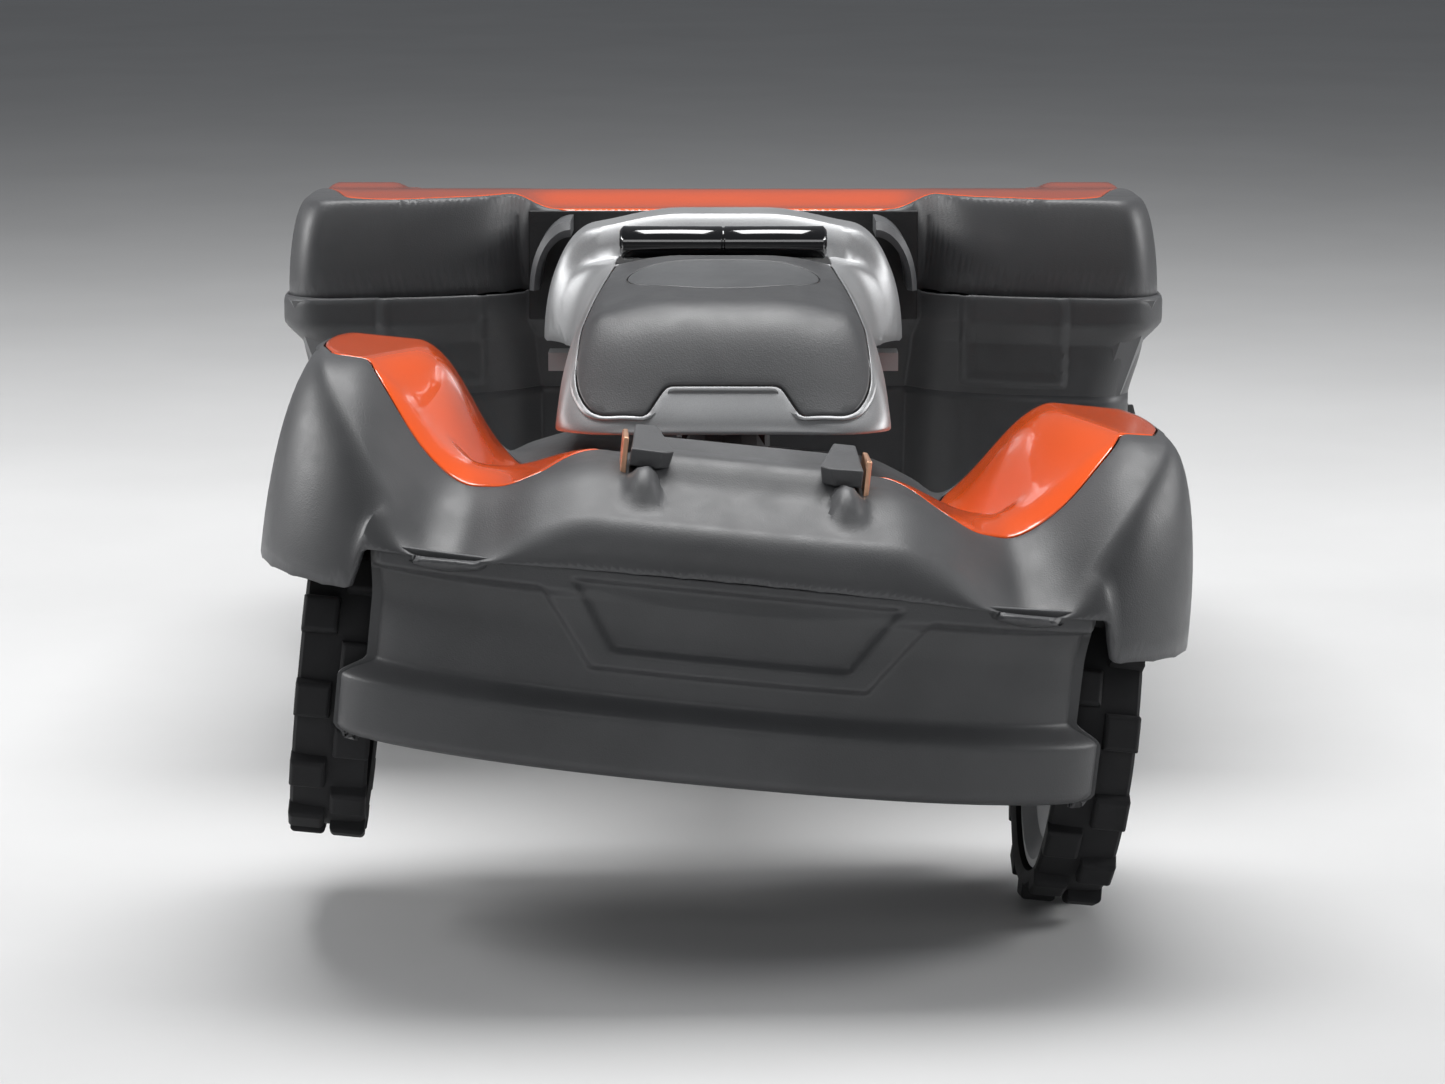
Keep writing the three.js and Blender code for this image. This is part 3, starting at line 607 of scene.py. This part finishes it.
def hood_insert_outline(grow=0.0):
    """Two lobes joined by a strip behind the contacts; grow leaves a gap round them."""
    half = [
        (0, -34 - grow),
        (62, -34 - grow),
        (84, -50 - grow),
        (98, -82 - grow),
        (112, -86 - grow),
        (126, -78 - grow),
        (142, -72 - grow),
        (164, -68 - grow),
        (181 + grow, -54 - grow),
        (186 + grow, -37 - grow),
        (203 + grow, -32 - grow),
        (212 + grow, 10),
        (204 + grow, 74 + grow),
        (116 - grow, 74 + grow),
        (100 - grow, 10 + grow),
        (0, 10 + grow),
    ]
    return rounded_pair(half, [0, 20, 16, 10, 8, 14, 14, 16, 8, 3, 4, 20, 18, 12, 16, 0])


def build_hood():
    """The hood's shell, notched for the neck at the back, and the orange insert let into it."""
    plan = superellipse(HOOD_HALF_WIDTH, HOOD_HALF_DEPTH, HOOD_CENTRE_Y, HOOD_SQUARENESS)
    crown = Crown(plan, HOOD_CENTRE_Y, hood_rim, hood_top, 0.9)
    notch = rounded([(-48, 34), (48, 34), (48, 118), (-48, 118)], 8)
    shell = panel(crown, crown.edge(), [hood_insert_outline(PANEL_GAP), notch], 4.0, 1.1, False)
    insert = panel(crown, hood_insert_outline(), [], 3.5, 1.1)
    add_skin("hood_skin", shell, 4, "front_body", DARK, ["front_hood"])
    add_skin("hood_insert_skin", insert, 2.2, "front_body", ORANGE, ["hood_insert"])


# ------------------------------------------------------------------ charging contacts
SADDLE_FLOOR_Z = 204
CONTACT_Z = (211, 229)


def saddle_top(x, y):
    return 225.5 - 11 * smooth(-y, 74, 101) - 5 * smooth(y, -56, -40)


def head_floor(x, y):
    return 212 + 4 * smooth(-y, 62, 102)


def head_top(x, y):
    return 231.5 - 7 * smooth(-y, 60, 104)


def build_contacts():
    """A raised saddle with a wedge-shaped head at each end and a contact plate outside each head."""
    plan = rounded(mirror_half([(0, -98), (36, -98), (40, -90), (46, -56), (40, -40), (0, -40)]), 3)
    saddle = block_between(plan, plan, SADDLE_FLOOR_Z, saddle_top)
    bridge = add_piece("contact_bridge", saddle, "front_body", DARK, ["contact_block"])
    bevel(bridge, 2.5, 4)
    for word, side in (("left", -1), ("right", 1)):
        foot = [(side * x, y) for x, y in ((39, -62), (55, -62), (56, -98), (43, -102), (37, -96))]
        ridge = [(side * x, y) for x, y in ((43, -62), (54, -62), (56, -101), (40, -103), (35, -98))]
        wedge = block_between(foot, ridge, head_floor, head_top)
        head = add_piece(f"contact_head_{word}", wedge, "front_body", DARK)
        bevel(head, 1.0, 3)
        strip = [(side * x, y) for x, y in ((57.2, -97), (60, -95), (60, -67), (57.2, -65))]
        slab = block_between(strip, strip, *CONTACT_Z)
        plate = add_piece(f"contact_plate_{word}", slab, "front_body", COPPER,
                          [f"contact_strip_{word}"])
        bevel(plate, 0.8)


# ------------------------------------------------------------------ front bumper
BUMPER_HALF_WIDTH = 185
BUMPER_FRONT_Y = -150
BUMPER_END_Y = -103
BUMPER_BOTTOM_Z = 74
BUMPER_TOP_Z = 171.6
BUMPER_SQUARENESS = 3.6
WAIST_STEP = BUMPER_HALF_WIDTH - BUMPER_WAIST_HALF
FRAME_DEPTH = 3.2
PANEL_DEPTH = 3.6


def hood_front_y(x):
    """The hood's front edge in plan, which the top of the bumper follows."""
    across = (1 - abs(x / HOOD_HALF_WIDTH) ** HOOD_SQUARENESS) ** (1 / HOOD_SQUARENESS)
    return HOOD_CENTRE_Y - HOOD_HALF_DEPTH * across


def nose_relief(x, z):
    """Forward relief of the bumper's face: a band under the seam that frames a sunken panel."""
    side = abs(x)
    outer = min((z - 122) * 0.9, mix(66, 96, (z - 122) / 40) - side)
    inner = min((z - 131) * 0.9, mix(57, 84, (z - 131) / 41) - side)
    frame_band = max(float(smooth(outer, 0, 4)), float(smooth(z, 158, 163)))
    sunken = float(smooth(inner, 0, 5)) * (1 - float(smooth(z, 164, 168)))
    return FRAME_DEPTH * frame_band - PANEL_DEPTH * sunken


def bumper_row(z):
    """The bumper's face at one height, from its left end to its right."""
    ledge = float(smooth(z, 102, 113))
    flare = float(smooth(z, 140, 170))
    under = 5 * (1 - min(1, (z - BUMPER_BOTTOM_Z) / 5)) ** 2
    half = BUMPER_HALF_WIDTH - WAIST_STEP * ledge + 3 * flare - under
    front = BUMPER_FRONT_Y + 10 * ledge - 3 * flare + under
    row = []
    for phi in np.linspace(-PI / 2, PI / 2, 361):
        s = math.sin(phi)
        c = math.cos(phi)
        x = math.copysign(abs(s) ** (2 / BUMPER_SQUARENESS), s) * half
        bow = 24 * abs(x / half) ** 2.2 * c**0.15
        wrap = (BUMPER_END_Y - front) * (1 - c ** (2 / BUMPER_SQUARENESS))
        y = min(front + bow + wrap, BUMPER_END_Y)
        flush = float(smooth(z, 156, 162)) * float(smooth(c, 0.0, 0.35))
        y = mix(y, min(hood_front_y(x) + 2.2, BUMPER_END_Y), flush)
        on_face = float(smooth(z, 112, 118)) * float(smooth(c, 0, 0.3))
        row.append((x, y - (nose_relief(x, z) - FRAME_DEPTH * flush) * on_face, z))
    return row


def build_bumper():
    """The face in level rows, with a narrow lip turned in under its bottom edge."""
    ledge_levels = np.linspace(103, 120, 18)
    levels = [*np.linspace(BUMPER_BOTTOM_Z, 102, 14), *ledge_levels, *np.linspace(121, BUMPER_TOP_Z, 60)]
    rows = [bumper_row(z) for z in levels]
    verts = [v for row in rows for v in row]
    count = len(rows[0])
    base = len(verts)
    faces = grid_faces(len(rows), count)
    verts += [(x * 0.97, min(y + 12, BUMPER_END_Y), z) for x, y, z in rows[0]]
    faces += [(i + 1, i, base + i, base + i + 1) for i in range(count - 1)]
    add_skin("bumper_skin", (verts, faces), 3.5, "front_body", DARK, ["front_bumper"], 60)


# ------------------------------------------------------------------ neck
NECK_CENTRE_Y = 130
BADGE_Y = 98
BADGE_HALF_WIDTH = 50
BADGE_HALF_DEPTH = 36
BAR_R = 9
BAR_HALF = 56
BAR_Y = 173
BAR_Z = 303


def neck_outline():
    half = [(0, -30), (62, -30), (84, -18), (84, 70), (79, 130), (82, 180), (99, 200), (99, 312), (0, 312)]
    return rounded_pair(half, [0, 12, 22, 30, 30, 18, 14, 4, 0])


def neck_rim(x, y):
    """The frame's lower edge climbs towards the box."""
    return mix(226, 246, smooth(y, 100, 190))


def neck_top(x, y):
    """A steep front, a gently rising top and a step up to the shoulders behind the bar."""
    climb = mix(238, 286, smooth(y, -50, 34))
    crown = 12 * smooth(y, 10, 150) + 18 * smooth(y, 190, 204)
    round_off = 9 * smooth(abs(x), 20, 84) ** 1.2
    return climb + crown - 5 * smooth(y, 240, 312) - round_off


def cover_outline(grow=0.0):
    """The cover runs from its notched front edge to the bar's well."""
    half = [(0, -14 - grow), (29 - grow, -14 - grow), (39 - grow, -25 - grow), (64 + grow, -22 - grow),
            (74 + grow, -6), (70 + grow, 50), (60 + grow, 120), (57 + grow, 152 + grow), (0, 152 + grow)]
    return rounded_pair(half, [0, 3, 3, 9, 9, 40, 20, 3, 0])


def ellipse(a, b, centre_y, steps=96):
    return [(a * math.cos(2 * PI * k / steps), centre_y + b * math.sin(2 * PI * k / steps))
            for k in range(steps)]


def build_neck():
    """Frame, cover and blank badge are panels of one crowned surface."""
    crown = Crown(neck_outline(), NECK_CENTRE_Y, neck_rim, neck_top, 0.72)
    well = rounded([(-58, 154), (58, 154), (58, 193), (-58, 193)], 4)
    frame_shape = panel(crown, crown.edge(), [cover_outline(PANEL_GAP), well], 4.0, 1.0, False)
    badge_hole = ellipse(BADGE_HALF_WIDTH + 0.5, BADGE_HALF_DEPTH + 0.5, BADGE_Y)
    cover_shape = panel(crown, cover_outline(), [badge_hole], 3.5, 1.0)
    badge_shape = panel(crown, ellipse(BADGE_HALF_WIDTH, BADGE_HALF_DEPTH, BADGE_Y), [], 3.5, 0.6)
    add_skin("neck_frame_skin", frame_shape, 3, "main_body", SILVER, ["neck_frame"])
    add_skin("neck_cover_skin", cover_shape, 2.5, "main_body", COVER, ["neck_cover"])
    add_skin("neck_badge_plate", badge_shape, 1.2, "main_body", BADGE, ["neck_badge"])


def build_stop_bar():
    """An oval bar with a fine groove at its middle, over the floor of its well."""
    groove = BAR_R - 0.6
    half = [(groove, 0.4), (BAR_R, 1), (BAR_R, BAR_HALF - 2), (BAR_R - 2, BAR_HALF), (0.01, BAR_HALF)]
    profile = [(r, -x) for r, x in reversed(half)] + half
    verts, faces = lathe_x(profile, 48)
    verts = [(x, y * 1.25 + BAR_Y, z + BAR_Z) for x, y, z in verts]
    add_piece("stop_bar_grip", (verts, faces), "stop_bar", GLOSS, ["stop_bar"], 50)
    liner = rounded([(-57.5, 155.5), (57.5, 155.5), (57.5, 191.5), (-57.5, 191.5)], 5)
    floor = block_between(liner, liner, 287, 289.5)
    add_piece("stop_well_floor", floor, "main_body", GLOSS)


# ------------------------------------------------------------------ rear body
BOX_CENTRE_Y = 530
BOX_HALF = 248
BOX_POCKET_Y = 313
BOX_SEAM_Z = 262
BOX_TOP_Z = 318
FENDER_Z = 206
TUB_FLOOR_Z = 84
WIDE_TUB_BACK_Y = 424


def box_outline():
    """The box in plan, with a pocket at the front that takes the neck."""
    half = [(0, BOX_POCKET_Y), (115, BOX_POCKET_Y), (134, 288), (172, 270), (236, 257), (BOX_HALF, 280),
            (BOX_HALF, 520), (242, 660), (222, 748), (150, 782), (0, 790)]
    return rounded_pair(half, [0, 3, 20, 30, 14, 10, 60, 60, 40, 60, 0], 8)


def box_top(x, y):
    """The lid falls to the rear, rises over the fenders and dips behind the neck."""
    slope = 30 * smooth(y, 330, 680) + 22 * smooth(y, 660, 800)
    hump = 7 * smooth(abs(x), 184, 204) * smooth(y, 400, 500) * (1 - smooth(y, 690, 780))
    dip = 9 * (1 - smooth(abs(x), 98, 124)) * (1 - smooth(y, 330, 420))
    return BOX_TOP_Z - slope + hump - dip


def deck_outline(grow=0.0):
    """The orange deck, from just behind the box's front edge to a bay at the tail."""
    half = [(0, 319 - grow), (88, 319 - grow), (102, 328 - grow), (122, 326 - grow), (136, 304 - grow),
            (190, 276 - grow), (214, 290 - grow), (240 + grow, 420 - grow), (238 + grow, 640 + grow),
            (200, 700 + grow), (130, 716 + grow), (100, 664 + grow), (0, 650 + grow)]
    return rounded_pair(half, [0, 3, 6, 8, 14, 20, 20, 40, 40, 30, 30, 24, 0])


def box_rim(x, y):
    return BOX_SEAM_Z + 0.5


def build_box():
    """The upper shell and the deck let into its top."""
    crown = Crown(box_outline(), BOX_CENTRE_Y, box_rim, box_top, 0.955)
    shell = panel(crown, crown.edge(), [deck_outline(PANEL_GAP)], 6.0, 1.2, False)
    deck = panel(crown, deck_outline(), [], 6.0, 1.2)
    add_skin("rear_shell_skin", shell, 4, "main_body", DARK, ["rear_upper_shell"])
    add_skin("rear_deck_skin", deck, 2.2, "main_body", ORANGE, ["rear_deck_insert"])


def tub_shrink(z):
    """How far the tub's wall has drawn in below the seam: a lip, a chamfer, then a long taper."""
    below = BOX_SEAM_Z - z
    lip = 0.004 * max(0, 1 - below / 1.5) ** 2
    chamfer = 0.003 * smooth(below, 13, 16) + 0.036 * smooth(below, 12, 27)
    return float(lip + chamfer + 0.034 * smooth(below, 22, 66))


def pressed_panel(x, z):
    """Relief of the pressed rectangle on each side of the tub's front wall."""
    into = np.minimum(29.5 - abs(abs(x) - 166.5), z - 211)
    return 2.4 * (smooth(into, 0, 3) - 0.6 * smooth(into, 3, 9))


def band_ring(loop, centre, z):
    """The tub's wall at one height between the seam and the fender edge."""
    ring = centre + (loop - centre) * (1 - tub_shrink(z))
    front = (ring[:, 1] < 300) & (abs(ring[:, 0]) > 120)
    ring[:, 1] -= np.where(front, pressed_panel(ring[:, 0], z), 0)
    return [(x, y, z) for x, y in ring]


def skirt_ring(front, centre, z):
    """The front wall at one height below the fender edge."""
    taper = tub_shrink(FENDER_Z) + 0.012 * smooth(FENDER_Z - z, 0, 120)
    ring = centre + (front - centre) * (1 - taper)
    return [(x, y, z) for x, y in ring]


def build_tub():
    """The band under the seam down to the fender edge, and the front wall down to the deck."""
    loop = resample(box_outline(), OUTLINE_STEP)
    start = int(np.argmin(abs(loop[:, 0] - BOX_HALF) + abs(loop[:, 1] - WIDE_TUB_BACK_Y)))
    loop = np.roll(loop, -start, axis=0)
    centre = np.array([0, BOX_CENTRE_Y])
    levels = [261.8, 261.2, 260, 258, 255, *np.linspace(252, FENDER_Z + 2, 30), FENDER_Z + 0.5, FENDER_Z]
    verts = [v for z in levels for v in band_ring(loop, centre, z)]
    band = (verts, grid_faces(len(levels), len(loop), wrap=True))
    add_skin("tub_band", band, 3, "main_body", DARK, (), 50)
    front = loop[loop[:, 1] < WIDE_TUB_BACK_Y]
    front = front[np.argsort(np.arctan2(front[:, 0], BOX_CENTRE_Y - front[:, 1]))]
    depths = np.linspace(FENDER_Z + 0.2, TUB_FLOOR_Z, 24)
    verts = [v for z in depths for v in skirt_ring(front, centre, z)]
    wall = (verts, grid_faces(len(depths), len(front)))
    add_skin("tub_front_wall", wall, 3, "main_body", DARK, (), 50)


COLLAR_X = 86
COLLAR_Z = 268
COLLAR_STEPS = 24
COLLAR_SECTION = ((20, 309), (20, 262), (23, 258), (26, 262), (26, 309))


def collar(side):
    """A quarter ring round the neck's shoulder, swept from its section of (radius, y) points."""
    verts = []
    for k in range(COLLAR_STEPS + 1):
        angle = PI * 0.5 * k / COLLAR_STEPS
        for radius, y in COLLAR_SECTION:
            x = side * (COLLAR_X + radius * math.sin(angle) * 0.9)
            verts.append((x, y, COLLAR_Z + radius * math.cos(angle) * 1.5))
    width = len(COLLAR_SECTION)
    first = tuple(range(width))
    last = tuple(range(len(verts) - width, len(verts)))
    faces = []
    for k in range(COLLAR_STEPS):
        for j in first:
            n = (j + 1) % width
            faces.append((k * width + j, k * width + n, (k + 1) * width + n, (k + 1) * width + j))
    return outward(verts, faces + [first, last[::-1]])


def build_neck_socket():
    """The dark socket behind the neck's shoulders, with a rounded collar on each side."""
    outline = [(-112, 309), (112, 309), (112, 311.5), (-112, 311.5)]
    back = block_between(outline, outline, 246, 309)
    bevel(add_piece("socket_back", back, "main_body", CHASSIS), 1)
    for word, side in (("left", -1), ("right", 1)):
        add_piece(f"socket_collar_{word}", collar(side), "main_body", DARK)


# ------------------------------------------------------------------ wheels
LUGS = 14
PITCH = 2 * PI / LUGS
# Radius, how much narrower the lug is there as a share of the pitch, and its inner and outer x.
LUG_LEVELS = ((88, 0, 1, 18.9), (95.5, 0.03, 1.5, 18.9), (96.8, 0.07, 3, 17.4))
# Radius and x, out from the left edge over the tread to the right.
TYRE_PROFILE = [(82, -17), (86, -18.6), (89, -18.6), (90.4, -17), (91, -9), (91.2, 0), (91, 9), (90.4, 17),
                (89, 18.6), (86, 18.6), (82, 17)]
# Radius and x, from the cap at the centre over the disc and the rim, then back inside.
HUB_PROFILE = [(0.01, 10.6), (14, 10.6), (20, 9.8), (22, 8), (26, 7.4), (62, 9), (70, 12), (75, 15.5),
               (79, 16.2), (81.2, 15.5), (81.6, 13), (81.6, -12), (80, -14.6), (76, -15), (71, -12),
               (66, -9), (27, -8.4), (22, -13.8), (9, -14), (7.6, -13), (7.6, 3.8), (0.01, 3.8)]


def lug_mesh():
    """Two staggered rows of lugs about the X axis, each narrower towards its top."""
    verts = []
    faces = []
    for row in (-1, 1):
        for i in range(LUGS):
            start = len(verts)
            turn = PITCH * (i + (0.5 if row > 0 else 0) + 0.25)
            for r, narrow, x_in, x_out in LUG_LEVELS:
                half = PITCH * (0.235 - narrow)
                for x, angle in ((x_in, -half), (x_out, -half), (x_out, half), (x_in, half)):
                    verts.append((row * x, r * math.cos(turn + angle), r * math.sin(turn + angle)))
            for low in (start, start + 4):
                for k in range(4):
                    j = (k + 1) % 4
                    faces.append((low + k, low + j, low + 4 + j, low + 4 + k))
            faces.append((start + 3, start + 2, start + 1, start))
            faces.append((start + 8, start + 9, start + 10, start + 11))
    return outward(verts, faces)


def wheel_track(end):
    """Half the distance between an axle's wheels, from their joints."""
    left = Vector(joint(f"{end}_left_spin")["pos_m"])
    right = Vector(joint(f"{end}_right_spin")["pos_m"])
    return (right - left).length / 2 / MM


def build_wheels():
    """A tread ring, its lugs and a disc for each wheel, with the left ones turned to face out."""
    ring = lathe_x(TYRE_PROFILE, LUGS * 24, wrap_profile=True)
    lugs = lug_mesh()
    hub = lathe_x(HUB_PROFILE, 96)
    for end, axle_matrix, axle_y in (("front", FRONT, 0), ("rear", BOGIE, REAR_AXLE_Y)):
        track = wheel_track(end)
        for word, side in (("left", -1), ("right", 1)):
            name = f"{end}_{word}"
            body = f"{name}_wheel"
            place = axle_matrix @ Matrix.Translation(Vector((side * track, axle_y, WHEEL_R)) * MM)
            if side < 0:
                place = place @ Matrix.Rotation(PI, 4, "Z")
            add_piece(f"{name}_tread_ring", ring, body, TYRE, [f"{name}_tyre"], matrix=place)
            bevel(add_piece(f"{name}_lugs", lugs, body, TYRE, matrix=place), 0.8, 2)
            add_piece(f"{name}_disc", hub, body, HUB, [f"{name}_hub"], 30, place)


# ------------------------------------------------------------------ carried-over CAD nodes
CAD_LOOKS = {
    DARK: ("rear_tub",),
    SILVER: ("neck_tab_left", "neck_tab_right"),
    CHASSIS: ("swivel_bearing", "height_carriage", "blade_disc", "skid_plate", "front_chassis",
              "rear_axle_beam"),
    STEEL: ("kingpin_bearing", "height_guide", "blade_1", "blade_2", "blade_3", "roll_pin"),
    MOTOR: ("steering_motor", "blade_motor", "front_gearmotor_left", "front_gearmotor_right",
            "rear_gearmotor_left", "rear_gearmotor_right"),
    BOARD: ("control_board",),
    BATTERY: ("battery_pack",),
}


def dress_cad_nodes():
    """A material and softened edges on each CAD node that stays visible."""
    for material, names in CAD_LOOKS.items():
        for name in names:
            node = frame["nodes"][name]
            node.data.materials.clear()
            node.data.materials.append(material)
            bevel(node, 0.8, 2)


# ------------------------------------------------------------------ studio
CAMERA_PLACE = (-0.0004, -2.3, 0.5884)
CAMERA_PITCH = 11.36
LENS = 99.74
SENSOR_WIDTH = 36
# Name, place, what it points at, power in watts and width in metres.
LIGHTS = (
    ("top_softbox", (0, 0.35, 2.2), (0, 0, 0.2), 56, 1.7),
    ("left_strip", (-2.0, 0.1, 0.9), (0, 0, 0.2), 26, 1.0),
    ("right_strip", (2.0, 0.1, 0.9), (0, 0, 0.2), 22, 1.0),
    ("front_fill", (0, -2.8, 1.7), (0, 0, 0.15), 9, 1.4),
)


def build_floor():
    bpy.ops.mesh.primitive_plane_add(size=14, location=(0, 3, 0))
    floor = bpy.context.object
    floor.name = "studio_floor"
    n = Nodes("floor_paper")
    tint = n.ramp(n.noise(3, 4), [(0.3, (0.60, 0.60, 0.60)), (0.7, (0.64, 0.64, 0.64))])
    floor.data.materials.append(n.finish(tint, Roughness=0.75))


def build_camera():
    camera = bpy.data.objects.new("camera", bpy.data.cameras.new("camera"))
    bpy.context.scene.collection.objects.link(camera)
    camera.location = CAMERA_PLACE
    camera.rotation_euler = (math.radians(90 - CAMERA_PITCH), 0, 0)
    camera.data.lens = LENS
    camera.data.sensor_width = SENSOR_WIDTH
    bpy.context.scene.camera = camera


def add_light(name, place, target, power, size):
    light = bpy.data.objects.new(name, bpy.data.lights.new(name, "AREA"))
    bpy.context.scene.collection.objects.link(light)
    light.data.energy = power
    light.data.shape = "RECTANGLE"
    light.data.size = size
    light.data.size_y = size * 0.6
    light.location = place
    light.rotation_euler = (Vector(target) - Vector(place)).to_track_quat("-Z", "Y").to_euler()


def build_studio():
    """Pale floor, camera, four soft lights and a dim even sky."""
    build_floor()
    build_camera()
    for light in LIGHTS:
        add_light(*light)
    world = bpy.data.worlds.new("studio")
    world.use_nodes = True
    background = world.node_tree.nodes["Background"]
    background.inputs["Color"].default_value = (0.5, 0.52, 0.55, 1)
    background.inputs["Strength"].default_value = 0.25
    bpy.context.scene.world = world
    bpy.context.scene.view_settings.view_transform = "Standard"


build_hood()
build_contacts()
build_bumper()
build_neck()
build_stop_bar()
build_box()
build_tub()
build_neck_socket()
build_wheels()
dress_cad_nodes()
build_studio()
